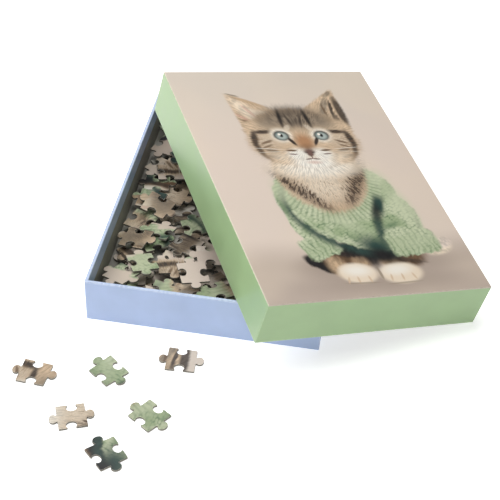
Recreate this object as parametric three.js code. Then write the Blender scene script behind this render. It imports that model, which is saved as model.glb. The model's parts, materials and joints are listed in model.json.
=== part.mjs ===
// A boxed jigsaw puzzle: a shallow rigid tray full of loose pieces, its lid set down askew across the
// tray, and six pieces lying on the table in front. Millimetres, +Z up, +X along the tray's front edge.
// The origin is the middle of the tray's underside.
//
// The tray and the lid are made alike: greyboard panels, corner stays of paper tape glued over the upright
// edges, and a printed wrap that covers the walls, folds over the rim and turns in.
import * as THREE from "three";

// ---------------------------------------------------------------- driving dimensions
const TRAY = { width: 200, length: 289, height: 42.3 };
const LID_CLEARANCE = 3; // all round, between the tray's outside and the lid's outside
const LID = {
  width: TRAY.width + 2 * LID_CLEARANCE,
  length: TRAY.length + 2 * LID_CLEARANCE,
  height: 44.3,
};

// The wall's section, from the outside in: wrap, glue line with the stays in it, board, turn-in.
const PAPER = 0.3;
const STAY = 0.2;
const STAY_LEG = 12;
const BOARD = 1.6;
const GAP = 0.1;
const BOARD_OUT = PAPER + GAP + STAY + GAP;
const BOARD_IN = BOARD_OUT + BOARD;
const TURN_IN_GAP = 0.3;
const WALL = BOARD_IN + TURN_IN_GAP + PAPER;
const TURN_IN = 15;
const FOLD = 0.3; // bevel of the wrap where it folds over the rim
const RING_HALF = 50; // half the side of the square ring that a wrap is stretched from

// The lid as it was set down: its rim lies on the tray's front and back rims, its corner on the table.
const LID_TURN = 29.4;
const LID_SLOPE = 10.6;
const LID_ROLL = 6.4;
const LID_CORNER = [50.4, -184.4, 38.2]; // the rim's front left corner

// Jigsaw pieces: a square of one pitch with a knob or a socket in the middle of each side.
const PITCH = 24;
const PIECE = 1.9;
const PIECE_UPRIGHT = 1.03 * PIECE; // the most that a leaning piece measures straight up
const KNOB = { width: 9, height: 7.2, centre: 3.1, neck: 0.5, shoulder: 4.1, steps: 9 };
const KNOB_WANDER = 1.3;
const CORNER_WANDER = 0.9;

// The heap stands for the pieces that lie under the ones that show.
const HEAP_GAP = 0.3;
const HEAP_TOP = 10.4;
const HEAP_CELLS = [14, 20];
// Its top rolls gently: the height of each wave, and how far it runs.
const SWELL = { height: 1.3, across: 29, along: 41, shift: 0.7 };
const RIPPLE = { height: 0.8, run: 23 };
const REST_GAP = 0.55; // under a piece that lies on others, so that its tilted edges stay clear
const MOST_LEAN = 0.24;
const SAMPLE_STEP = 1.5;
const WALL_ROOM = 1.2;

const KNOB_OUT = 1;
const SOCKET = -1;
const STRAIGHT = 0;
const ACROSS = [SOCKET, KNOB_OUT, SOCKET, KNOB_OUT]; // knobs at both ends of the piece's own X
const BORDER = [STRAIGHT, KNOB_OUT, SOCKET, KNOB_OUT];
const THREE_KNOBS = [KNOB_OUT, KNOB_OUT, SOCKET, KNOB_OUT];
const MIXED = [SOCKET, KNOB_OUT, KNOB_OUT, SOCKET];

// Pieces on the table: the middle and the turn of each.
const LOOSE = [
  { at: [-124.5, -215.0], turn: -4 },
  { at: [-66.1, -202.4], turn: -36 },
  { at: [-10.7, -178.3], turn: 3 },
  { at: [-82.6, -255.3], turn: 24 },
  { at: [-23.2, -242.6], turn: -35 },
  { at: [-46.4, -286.9], turn: -47 },
];

// Pieces that show on top of the heap, from the lowest to the highest. Those that lie free of every other
// piece and of the lid, so that they can be picked straight up, are marked.
const TOP = [
  { at: [-83, -127], turn: 12, sides: BORDER },
  { at: [-60, -122], turn: -6, sides: ACROSS },
  { at: [-10, -127], turn: 4, sides: MIXED },
  { at: [20, -124], turn: -24, sides: ACROSS },
  { at: [-84, -20], turn: 74, sides: ACROSS },
  { at: [-30, -20], turn: 25, sides: MIXED },
  { at: [-59, 22], turn: -12, sides: THREE_KNOBS },
  { at: [-62, -48], turn: 32, sides: ACROSS },
  { at: [-83, 62], turn: 58, sides: ACROSS },
  { at: [6, -106], turn: 38, sides: ACROSS },
  { at: [-64, 100], turn: -20, sides: ACROSS },
  { at: [-90, 92], turn: 66, sides: BORDER },
  { at: [-14, 127], turn: 30, sides: THREE_KNOBS },
  { at: [-40, -76], turn: 16, sides: THREE_KNOBS },
  { at: [16, 130], turn: -10, sides: ACROSS },
  { at: [-88, 34], turn: 6, sides: BORDER },
  { at: [-32, -50], turn: 62, sides: ACROSS },
  { at: [-8, -64], turn: 12, sides: ACROSS },
  { at: [-90, -104], turn: -30, sides: THREE_KNOBS },
  { at: [-92, 6], turn: 82, sides: MIXED },
  { at: [-69, 50], turn: 20, sides: MIXED },
  { at: [-60, -36], turn: 80, sides: MIXED },
  { at: [-58, 78], turn: 45, sides: ACROSS },
  { at: [-27, 96], turn: -40, sides: MIXED },
  { at: [-86, 124], turn: 40, sides: MIXED, free: true },
  { at: [-43, 125], turn: 12, sides: ACROSS, free: true },
  { at: [-69, -4], turn: -18, sides: ACROSS, free: true },
  { at: [-86, -52], turn: -14, sides: ACROSS, free: true },
  { at: [-38, -118], turn: 84, sides: ACROSS, free: true },
  { at: [-64, -88], turn: -62, sides: ACROSS, free: true },
  { at: [-18, -91], turn: -66, sides: ACROSS, free: true },
];

const COLOURS = {
  trayWrap: 0xb0c3e2,
  board: 0xa9a69c,
  tape: 0xb89b72,
  lidWrap: 0x9ab987,
  picture: 0xd2c5b6,
  print: 0xb9b2a0,
  heap: 0x8d877a,
};

// ---------------------------------------------------------------- helpers
const radians = THREE.MathUtils.degToRad;

function paint(color, roughness) {
  return new THREE.MeshStandardMaterial({ color, roughness, metalness: 0 });
}

const MATERIALS = {
  trayWrap: paint(COLOURS.trayWrap, 0.6),
  board: paint(COLOURS.board, 0.9),
  tape: paint(COLOURS.tape, 0.85),
  lidWrap: paint(COLOURS.lidWrap, 0.45),
  picture: paint(COLOURS.picture, 0.4),
  print: paint(COLOURS.print, 0.5),
  heap: paint(COLOURS.heap, 0.8),
};

function named(name, geometry, material, parent) {
  const mesh = new THREE.Mesh(geometry, material);
  mesh.name = name;
  parent.add(mesh);
  return mesh;
}

// The same number between -1 and 1 each time, for the small differences that a cutting die has.
function wander(seed) {
  const wave = Math.sin(seed * 12.9898 + 4.1414) * 43758.5453;
  return 2 * (wave - Math.floor(wave)) - 1;
}

function slab(width, length, thickness, z) {
  return new THREE.BoxGeometry(width, length, thickness).translate(0, 0, z + thickness / 2);
}

function prism(points, z, height) {
  const shape = new THREE.Shape(points.map(([x, y]) => new THREE.Vector2(x, y)));
  return new THREE.ExtrudeGeometry(shape, { depth: height, bevelEnabled: false }).translate(0, 0, z);
}

// ---------------------------------------------------------------- the box
// A section in (depth from the outside, height), carried round the rectangle with mitred corners: a lathe of
// four segments, whose corners are then moved apart to the box's width and length.
function mitredRing(section, width, length) {
  const closed = [...section, section[0]].reverse();
  const profile = closed.map(([depth, z]) => new THREE.Vector2((RING_HALF - depth) * Math.SQRT2, z));
  const ring = new THREE.LatheGeometry(profile, 4, Math.PI / 4).rotateX(Math.PI / 2);
  const place = ring.getAttribute("position");
  for (let i = 0; i < place.count; i += 1) {
    place.setX(i, place.getX(i) + Math.sign(place.getX(i)) * (width / 2 - RING_HALF));
    place.setY(i, place.getY(i) + Math.sign(place.getY(i)) * (length / 2 - RING_HALF));
  }
  return ring;
}

function sideWrap({ width, length, height }) {
  const foot = PAPER + GAP;
  const section = [
    [0, foot],
    [PAPER, foot],
    [PAPER, height - PAPER],
    [WALL - PAPER, height - PAPER],
    [WALL - PAPER, height - TURN_IN],
    [WALL, height - TURN_IN],
    [WALL, height - FOLD],
    [WALL - FOLD, height],
    [FOLD, height],
    [0, height - FOLD],
  ];
  return mitredRing(section, width, length);
}

// One wall of board in its own frame: along +X from the box's corner, depth along +Y.
function wallBoard(run, height) {
  const foot = BOARD_OUT + BOARD + GAP;
  const plan = [
    [BOARD_OUT + GAP, BOARD_OUT],
    [run - BOARD_OUT - GAP, BOARD_OUT],
    [run - BOARD_IN - GAP, BOARD_IN],
    [BOARD_IN + GAP, BOARD_IN],
  ];
  return prism(plan, foot, height - PAPER - TURN_IN_GAP - foot);
}

function cornerStay(height) {
  const near = PAPER + GAP;
  const far = near + STAY;
  const plan = [
    [near, near],
    [STAY_LEG, near],
    [STAY_LEG, far],
    [far, far],
    [far, STAY_LEG],
    [near, STAY_LEG],
  ];
  const foot = PAPER + 2 * GAP;
  return prism(plan, foot, height - PAPER - TURN_IN_GAP - foot);
}

// A box standing open side up on z = 0. The sides are named in turn from the one along its -Y edge.
function rigidBox({ name, size, panelName, sheetName, sideNames, wrap, sheet }) {
  const box = new THREE.Group();
  const { width, length, height } = size;
  const panel = slab(width - 2 * BOARD_OUT, length - 2 * BOARD_OUT, BOARD, BOARD_OUT);
  named(`${name}_board_${panelName}`, panel, MATERIALS.board, box);
  named(sheetName, slab(width, length, PAPER, 0), sheet, box);
  named(`${name}_side_wrap`, sideWrap(size), wrap, box);
  sideNames.forEach((side, turn) => {
    const run = turn % 2 ? length : width;
    const reach = turn % 2 ? width : length;
    const corner = new THREE.Group();
    corner.position.set(-run / 2, -reach / 2, 0);
    named(`${name}_board_${side}`, wallBoard(run, height), MATERIALS.board, corner);
    named(`${name}_corner_stay_${turn + 1}`, cornerStay(height), MATERIALS.tape, corner);
    const edge = new THREE.Group();
    edge.rotation.z = (turn * Math.PI) / 2;
    edge.add(corner);
    box.add(edge);
  });
  return box;
}

function tray() {
  return rigidBox({
    name: "tray",
    size: TRAY,
    panelName: "floor",
    sheetName: "tray_base_sheet",
    sideNames: ["front", "right", "back", "left"],
    wrap: MATERIALS.trayWrap,
    sheet: MATERIALS.trayWrap,
  });
}

function lid() {
  const shell = rigidBox({
    name: "lid",
    size: LID,
    panelName: "top",
    sheetName: "lid_picture_sheet",
    sideNames: ["front", "left", "back", "right"], // turned over, so right and left change places
    wrap: MATERIALS.lidWrap,
    sheet: MATERIALS.picture,
  });
  shell.rotation.y = Math.PI;
  shell.position.set(LID.width / 2, LID.length / 2, LID.height);
  const placed = new THREE.Group();
  placed.rotation.set(radians(LID_ROLL), radians(LID_SLOPE), radians(LID_TURN), "ZYX");
  placed.position.set(...LID_CORNER);
  placed.add(shell);
  return placed;
}

// ---------------------------------------------------------------- the pieces
// One side, from its first corner: s runs along the side and h outwards, or inwards for a socket.
function sidePoints(run, kind, shift) {
  if (kind === STRAIGHT) return [[0, 0]];
  const middle = run / 2 + shift;
  const start = Math.asin((KNOB.centre - KNOB.neck) / (KNOB.height / 2));
  const sweep = Math.PI + 2 * start;
  const points = [
    [0, 0],
    [middle - KNOB.shoulder, 0],
  ];
  for (let i = 0; i <= KNOB.steps; i += 1) {
    const angle = Math.PI + start - (sweep * i) / KNOB.steps;
    const s = middle + (KNOB.width / 2) * Math.cos(angle);
    const h = KNOB.centre + (KNOB.height / 2) * Math.sin(angle);
    points.push([s, h * kind]);
  }
  points.push([middle + KNOB.shoulder, 0]);
  return points;
}

// The piece's outline round its own middle. The sides run from the one at -Y, anticlockwise.
function outline(sides, seed) {
  const corners = [
    [-1, -1],
    [1, -1],
    [1, 1],
    [-1, 1],
  ].map(([x, y], i) => [
    (x * PITCH) / 2 + CORNER_WANDER * wander(seed + 0.31 * i),
    (y * PITCH) / 2 + CORNER_WANDER * wander(seed + 0.57 * i + 7),
  ]);
  return sides.flatMap((kind, i) => {
    const [from, to] = [corners[i], corners[(i + 1) % 4]];
    const [dx, dy] = [to[0] - from[0], to[1] - from[1]];
    const run = Math.hypot(dx, dy);
    return sidePoints(run, kind, KNOB_WANDER * wander(seed + 1.7 * i + 3)).map(([s, h]) => [
      from[0] + (dx * s + dy * h) / run,
      from[1] + (dy * s - dx * h) / run,
    ]);
  });
}

function inside(points, x, y) {
  let within = false;
  points.forEach(([ax, ay], i) => {
    const [bx, by] = points[(i + 1) % points.length];
    if (ay > y !== by > y && x < ((bx - ax) * (y - ay)) / (by - ay) + ax) within = !within;
  });
  return within;
}

// The nearest place to `at` where a turned piece stands clear of the tray's walls.
function clearOfWalls(points, at, turn) {
  const room = [TRAY.width / 2 - WALL - WALL_ROOM, TRAY.length / 2 - WALL - WALL_ROOM];
  const turned = points.map(([u, v]) => [
    u * Math.cos(turn) - v * Math.sin(turn),
    u * Math.sin(turn) + v * Math.cos(turn),
  ]);
  return at.map((value, axis) => {
    const reach = turned.map((point) => point[axis]);
    return THREE.MathUtils.clamp(value, -room[axis] - Math.min(...reach), room[axis] - Math.max(...reach));
  });
}

function heapTop(x, y) {
  const swell = SWELL.height * Math.sin(x / SWELL.across + SWELL.shift) * Math.cos(y / SWELL.along);
  const ripple = RIPPLE.height * Math.sin((x - y) / RIPPLE.run);
  return HEAP_TOP + swell + ripple;
}

// The height that something lowered at (x, y) would come to rest on.
function ground(x, y, laid) {
  const heights = laid.map(({ points, turn, at, plane }) => {
    const [dx, dy] = [x - at[0], y - at[1]];
    const u = dx * Math.cos(turn) + dy * Math.sin(turn);
    const v = dy * Math.cos(turn) - dx * Math.sin(turn);
    return inside(points, u, v) ? plane.base + plane.slopeX * dx + plane.slopeY * dy + PIECE_UPRIGHT : 0;
  });
  return Math.max(heapTop(x, y), ...heights);
}

// Lays a piece on what is below it: the plane that fits the heights under it best, no steeper than pieces
// lie in a heap, raised until it is clear of all of them.
function lay(points, at, turn, laid) {
  const spots = [...points];
  const reach = PITCH / 2 + KNOB.height;
  for (let u = -reach; u <= reach; u += SAMPLE_STEP) {
    for (let v = -reach; v <= reach; v += SAMPLE_STEP) {
      if (inside(points, u, v)) spots.push([u, v]);
    }
  }
  const samples = spots.map(([u, v]) => {
    const dx = u * Math.cos(turn) - v * Math.sin(turn);
    const dy = u * Math.sin(turn) + v * Math.cos(turn);
    return { dx, dy, z: ground(at[0] + dx, at[1] + dy, laid) };
  });
  const mean = (value) => samples.reduce((sum, s) => sum + value(s), 0) / samples.length;
  const [mx, my, mz] = [mean((s) => s.dx), mean((s) => s.dy), mean((s) => s.z)];
  const xx = mean((s) => (s.dx - mx) ** 2);
  const yy = mean((s) => (s.dy - my) ** 2);
  const xy = mean((s) => (s.dx - mx) * (s.dy - my));
  const xz = mean((s) => (s.dx - mx) * (s.z - mz));
  const yz = mean((s) => (s.dy - my) * (s.z - mz));
  const det = xx * yy - xy * xy;
  const slopeX = THREE.MathUtils.clamp((xz * yy - yz * xy) / det, -MOST_LEAN, MOST_LEAN);
  const slopeY = THREE.MathUtils.clamp((yz * xx - xz * xy) / det, -MOST_LEAN, MOST_LEAN);
  const base = Math.max(...samples.map((s) => s.z - slopeX * s.dx - slopeY * s.dy)) + REST_GAP;
  return { base, slopeX, slopeY };
}

function piece(name, points, at, turn, plane, parent) {
  const mesh = named(name, prism(points, 0, PIECE), MATERIALS.print, parent);
  const up = new THREE.Vector3(-plane.slopeX, -plane.slopeY, 1).normalize();
  const along = new THREE.Vector3(Math.cos(turn), Math.sin(turn), 0);
  along.addScaledVector(up, -along.dot(up)).normalize();
  const across = new THREE.Vector3().crossVectors(up, along);
  mesh.quaternion.setFromRotationMatrix(new THREE.Matrix4().makeBasis(along, across, up));
  mesh.position.set(at[0], at[1], plane.base);
}

function loosePieces(parent) {
  LOOSE.forEach(({ at, turn }, i) => {
    const flat = { base: 0, slopeX: 0, slopeY: 0 };
    piece(`loose_piece_${i + 1}`, outline(ACROSS, i + 40), at, radians(turn), flat, parent);
  });
}

function trayPieces(parent) {
  const laid = [];
  const count = { tray_piece: 0, free_piece: 0 };
  TOP.forEach(({ at: aim, turn: degrees, sides, free }, i) => {
    const points = outline(sides, i + 1);
    const turn = radians(degrees);
    const at = clearOfWalls(points, aim, turn);
    const plane = lay(points, at, turn, laid);
    const kind = free ? "free_piece" : "tray_piece";
    count[kind] += 1;
    piece(`${kind}_${count[kind]}`, points, at, turn, plane, parent);
    laid.push({ points, turn, at, plane });
  });
}

function heap() {
  const foot = BOARD_IN + HEAP_GAP;
  const inset = 2 * (WALL + HEAP_GAP);
  const block = new THREE.BoxGeometry(TRAY.width - inset, TRAY.length - inset, 1, ...HEAP_CELLS, 1);
  const place = block.getAttribute("position");
  for (let i = 0; i < place.count; i += 1)
    place.setZ(i, place.getZ(i) > 0 ? heapTop(place.getX(i), place.getY(i)) : foot);
  return block;
}

const puzzle = new THREE.Group();
puzzle.add(tray(), lid());
named("piece_heap", heap(), MATERIALS.heap, puzzle);
trayPieces(puzzle);
loosePieces(puzzle);

export default puzzle;
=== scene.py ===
"""A boxed jigsaw puzzle: a tray full of loose pieces, its lid set down askew, six pieces on the table."""

import json
import logging
import math
import random
from dataclasses import dataclass, field
from enum import Enum
from functools import reduce

import bmesh
import bpy
import numpy as np
from mathutils import Matrix, Vector
from mathutils.bvhtree import BVHTree


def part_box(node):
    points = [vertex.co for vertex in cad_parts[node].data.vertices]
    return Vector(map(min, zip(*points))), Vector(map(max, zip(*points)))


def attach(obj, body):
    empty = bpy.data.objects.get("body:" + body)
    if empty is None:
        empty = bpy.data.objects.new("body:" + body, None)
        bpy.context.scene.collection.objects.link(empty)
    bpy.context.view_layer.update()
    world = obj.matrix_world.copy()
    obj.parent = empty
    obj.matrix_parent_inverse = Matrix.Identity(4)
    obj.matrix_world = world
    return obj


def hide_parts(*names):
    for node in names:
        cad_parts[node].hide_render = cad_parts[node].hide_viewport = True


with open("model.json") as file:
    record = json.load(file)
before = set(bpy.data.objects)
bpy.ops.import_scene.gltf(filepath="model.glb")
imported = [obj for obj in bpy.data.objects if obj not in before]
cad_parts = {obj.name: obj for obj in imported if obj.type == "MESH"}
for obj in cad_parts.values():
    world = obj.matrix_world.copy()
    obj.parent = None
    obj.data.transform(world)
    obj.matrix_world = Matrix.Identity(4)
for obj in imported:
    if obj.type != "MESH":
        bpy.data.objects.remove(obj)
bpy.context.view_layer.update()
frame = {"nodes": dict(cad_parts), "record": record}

log = logging.getLogger("boxed_puzzle")

MM = 0.001
WELD = 0.01 * MM  # corners nearer than this are one
UP = Vector((0, 0, 1))
SHEET_UV = "Sheet"  # a printed sheet laid flat, in millimetres from the picture's lower left corner
PLY_UV = "Ply"  # on a jigsaw piece: nearness to the cut edge, and height through the board

Colour = tuple[float, float, float, float]
Point = tuple[float, float]
Socket = bpy.types.NodeSocket
Sockets = dict[str, Socket]
Value = float | int | tuple | Socket
Triple = tuple[float, float, float]
Mesh = bmesh.types.BMesh
Edge = bmesh.types.BMEdge


def ink(red: int, green: int, blue: int) -> Colour:
    """Turns a display colour into the linear one that shaders take.

    Args:
        red: Display red, 0 to 255.
        green: Display green, 0 to 255.
        blue: Display blue, 0 to 255.

    Returns:
        The linear colour, with an alpha of 1.
    """

    def linear(value: int) -> float:
        """One channel of the display curve, undone."""
        share = value / 255
        return share / 12.92 if share <= 0.04045 else ((share + 0.055) / 1.055) ** 2.4

    return linear(red), linear(green), linear(blue), 1.0


# ---------------------------------------------------------------- node helpers
class Graph:
    """Adds nodes to a node tree and joins them, so that a finish reads as a list of steps."""

    def __init__(self, tree: bpy.types.NodeTree) -> None:
        """Keeps the tree that the nodes go in."""
        self.tree = tree

    def add(self, kind: str, *values: Value, **settings: object) -> bpy.types.Node:
        """Adds a node.

        Args:
            kind: The node's type, without the ShaderNode prefix.
            *values: What its first inputs get, in order.
            **settings: Properties of the node to set.

        Returns:
            The new node.
        """
        node = self.tree.nodes.new("ShaderNode" + kind)
        for name, value in settings.items():
            setattr(node, name, value)
        for socket, value in zip(node.inputs, values):
            self.feed(socket, value)
        return node

    def feed(self, socket: Socket, value: Value) -> None:
        """Links a socket to another, or sets its own value."""
        if isinstance(value, Socket):
            self.tree.links.new(value, socket)
        elif socket.type == "VECTOR":
            socket.default_value = value[:3]
        else:
            socket.default_value = value

    def math(self, operation: str, *values: Value) -> Socket:
        """One Math node's result."""
        return self.add("Math", *values, operation=operation).outputs[0]

    def product(self, *values: Value) -> Socket:
        """Numbers multiplied together."""
        return reduce(lambda first, second: self.math("MULTIPLY", first, second), values)

    def less(self, first: Value, second: Value) -> Socket:
        """The first number less the second."""
        return self.math("SUBTRACT", first, second)

    def vector(self, operation: str, *values: Value) -> Socket:
        """One Vector Math node's result: a number for a length or a dot product, else a vector."""
        node = self.add("VectorMath", *values, operation=operation)
        return node.outputs["Value" if operation in ("LENGTH", "DOT_PRODUCT") else "Vector"]

    def scaled(self, vector: Value, factor: Value) -> Socket:
        """A vector times a number."""
        node = self.add("VectorMath", vector, operation="SCALE")
        self.feed(node.inputs["Scale"], factor)
        return node.outputs["Vector"]

    def ramp(self, value: Value, low: float, high: float, bottom: Value = 0.0,
             top: Value = 1.0) -> Socket:
        """A smooth step between two values.

        Args:
            value: The number read.
            low: Where the step starts.
            high: Where it ends, which may be less than low.
            bottom: The result at low and before it.
            top: The result at high and past it.

        Returns:
            The stepped value.
        """
        step = self.add("MapRange", value, low, high, bottom, top, interpolation_type="SMOOTHSTEP")
        return step.outputs[0]

    def mix(self, factor: Value, first: Value, second: Value, blend: str = "MIX") -> Socket:
        """Two colours mixed, or one laid over the other in a blend mode.

        Args:
            factor: How much of the second colour shows.
            first: The colour below.
            second: The colour above.
            blend: The Mix node's blend mode.

        Returns:
            The mixed colour.
        """
        node = self.add("Mix", data_type="RGBA", blend_type=blend)
        for index, given in ((0, factor), (6, first), (7, second)):
            self.feed(node.inputs[index], given)
        return node.outputs[2]

    def split(self, vector: Value) -> tuple[Socket, ...]:
        """The X, Y and Z of a vector."""
        return tuple(self.add("SeparateXYZ", vector).outputs)

    def join(self, x: Value, y: Value, z: Value = 0.0) -> Socket:
        """A vector from its three parts."""
        return self.add("CombineXYZ", x, y, z).outputs[0]

    def place(self, vector: Value, at: Point, turn: float = 0.0,
              size: Point = (1.0, 1.0)) -> tuple[Socket, Socket]:
        """A flat pattern's own coordinates, centred, turned back and divided by its size.

        Args:
            vector: The coordinates outside, whose Z is 1.
            at: The pattern's middle in them.
            turn: Its turn in degrees, anticlockwise.
            size: Its half width and half height.

        Returns:
            The X and the Y inside.
        """
        cosine, sine = math.cos(math.radians(turn)), math.sin(math.radians(turn))
        (x, y), (wide, high) = at, size
        across = (cosine / wide, sine / wide, -(x * cosine + y * sine) / wide)
        up = (-sine / high, cosine / high, (x * sine - y * cosine) / high)
        return self.vector("DOT_PRODUCT", vector, across), self.vector("DOT_PRODUCT", vector, up)

    def noise(self, vector: Value, scale: float, detail: float = 2.0, flat: bool = False,
              rough: float = 0.5) -> Socket:
        """A noise texture's value.

        Args:
            vector: The coordinates.
            scale: The noise's scale.
            detail: The number of finer layers.
            flat: Whether it is read in two dimensions.
            rough: How strong the finer layers are.

        Returns:
            The value, near a half.
        """
        node = self.add("TexNoise", vector, noise_dimensions="2D" if flat else "3D")
        for name, value in (("Scale", scale), ("Detail", detail), ("Roughness", rough)):
            node.inputs[name].default_value = value
        return node.outputs[0]


class SharedEffect:
    """A shader node group that several finishes use, made once and then placed in each."""

    made: dict[str, bpy.types.NodeTree] = {}
    name = ""
    takes: tuple[tuple[str, str], ...] = ()
    gives: tuple[tuple[str, str], ...] = ()

    def draw(self, graph: Graph, given: Sockets) -> Sockets:
        """Fills the group. Each effect has its own.

        Args:
            graph: The group's graph.
            given: The group's inputs by name.

        Returns:
            What each output gets.
        """
        raise NotImplementedError

    def tree(self) -> bpy.types.NodeTree:
        """The group's node tree, built when it is first asked for."""
        if self.name in self.made:
            return self.made[self.name]
        tree = bpy.data.node_groups.new(self.name, "ShaderNodeTree")
        for way, ports in (("INPUT", self.takes), ("OUTPUT", self.gives)):
            for name, kind in ports:
                tree.interface.new_socket(name=name, in_out=way, socket_type="NodeSocket" + kind)
        entry, leave = tree.nodes.new("NodeGroupInput"), tree.nodes.new("NodeGroupOutput")
        graph = Graph(tree)
        results = self.draw(graph, {name: entry.outputs[name] for name, _ in self.takes})
        for name, socket in results.items():
            graph.feed(leave.inputs[name], socket)
        self.made[self.name] = tree
        return tree

    def use(self, graph: Graph, **given: Value) -> Sockets:
        """Places the group in a material.

        Args:
            graph: The material's graph.
            **given: A value or a link for each input, by name.

        Returns:
            The group's outputs by name.
        """
        node = graph.add("Group", node_tree=self.tree())
        for name, value in given.items():
            graph.feed(node.inputs[name], value)
        return {name: node.outputs[name] for name, _ in self.gives}


class PaperGrain(SharedEffect):
    """The fibres of paper and board: a fine relief, and a slow change of tone."""

    name = "paper_grain"
    takes = (("Place", "Vector"), ("Fibre", "Float"))
    gives = (("Relief", "Float"), ("Tone", "Float"))

    def draw(self, graph: Graph, given: Sockets) -> Sockets:
        """Fills the group, from the place in metres and the fibre's size in millimetres."""
        millimetres = graph.scaled(given["Place"], 1 / MM)
        fibres = graph.vector("DIVIDE", millimetres, graph.join(*[given["Fibre"]] * 3))
        relief = graph.noise(fibres, 1.0, 3.0, rough=0.6)
        tone = graph.noise(millimetres, 0.045, 2.0)
        return {"Relief": relief, "Tone": tone}


class FoldHighlightAndWear(SharedEffect):
    """Where a wrap is folded: a pale line of painted highlight along the box's edges, and its rim scuffed
    paler, both broken up in places.
    """

    name = "fold_highlight_and_wear"
    takes = (("Sheet", "Vector"), ("Width", "Float"), ("Length", "Float"), ("Height", "Float"))
    gives = (("Fold", "Float"), ("Rim", "Float"), ("Beyond", "Float"))

    FOLD_LINE = (0.25, 0.9)  # the painted highlight's half width and where it ends, in millimetres
    RIM_LINE = (0.4, 1.8)

    def draw(self, graph: Graph, given: Sockets) -> Sockets:
        """Fills the group. Beyond is how far a place lies outside the picture, in millimetres."""
        x, y, _ = graph.split(given["Sheet"])
        near, out = [], []
        for place, far in ((x, given["Width"]), (y, given["Length"])):
            past = graph.less(place, far)
            sides = (graph.math("ABSOLUTE", side) for side in (place, past))
            near.append(graph.math("MINIMUM", *sides))
            out.append(graph.math("MAXIMUM", graph.product(place, -1.0), past))
        beyond = graph.math("MAXIMUM", *out)
        to_rim = graph.math("ABSOLUTE", graph.less(beyond, given["Height"]))
        broken = graph.ramp(graph.noise(given["Sheet"], 0.35, 3.0, flat=True), 0.35, 0.6, 0.45, 1.0)
        nearest = graph.math("MINIMUM", *near)
        # The fold line is a painted highlight, broken up in places by the noise.
        fold = graph.product(graph.ramp(nearest, self.FOLD_LINE[1], self.FOLD_LINE[0]), broken)
        rim = graph.product(graph.ramp(to_rim, self.RIM_LINE[1], self.RIM_LINE[0]), broken)
        return {"Fold": fold, "Rim": rim, "Beyond": beyond}


# ---------------------------------------------------------------- the printed picture
class Ink(Enum):
    """The colours that the picture is painted with."""

    WALL_HIGH = ink(217, 205, 191)
    WALL = ink(224, 208, 194)
    TABLE = ink(190, 174, 161)
    SHADOW = ink(150, 134, 122)
    CREAM = ink(234, 217, 194)
    WHITE = ink(244, 238, 226)
    TAN = ink(196, 168, 136)
    SAND = ink(214, 188, 158)
    GINGER = ink(182, 135, 97)
    PINK = ink(205, 158, 142)
    TAUPE = ink(150, 136, 118)
    BROWN = ink(112, 88, 66)
    STRIPE = ink(62, 53, 48)
    BLACK = ink(34, 31, 32)
    NOSE = ink(114, 88, 80)
    EYE = ink(174, 184, 178)
    EYE_RING = ink(86, 96, 92)
    GREEN_LIGHT = ink(202, 209, 176)
    GREEN = ink(162, 178, 139)
    GREEN_DARK = ink(106, 130, 98)
    GREEN_DEEP = ink(48, 72, 66)


@dataclass(frozen=True)
class Mark:
    """One soft stroke or spot of colour, in millimetres on the picture."""

    at: Point
    size: Point
    ink: Ink
    turn: float = 0.0
    soft: float = 0.3
    strength: float = 1.0


def stroke(start: Point, end: Point, width: float, colour: Ink,
           strength: float = 1.0, soft: float = 0.5) -> Mark:
    """A long mark between two points.

    Args:
        start: One end.
        end: The other end.
        width: How wide it is in the middle.
        colour: Its ink.
        strength: How much it covers.
        soft: How much of it fades.

    Returns:
        The mark.
    """
    run = Vector(end) - Vector(start)
    middle = (Vector(start) + Vector(end)) / 2
    turn = math.degrees(math.atan2(run.y, run.x))
    return Mark(tuple(middle), (run.length / 2 + width / 3, width / 2), colour, turn, soft, strength)


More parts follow.
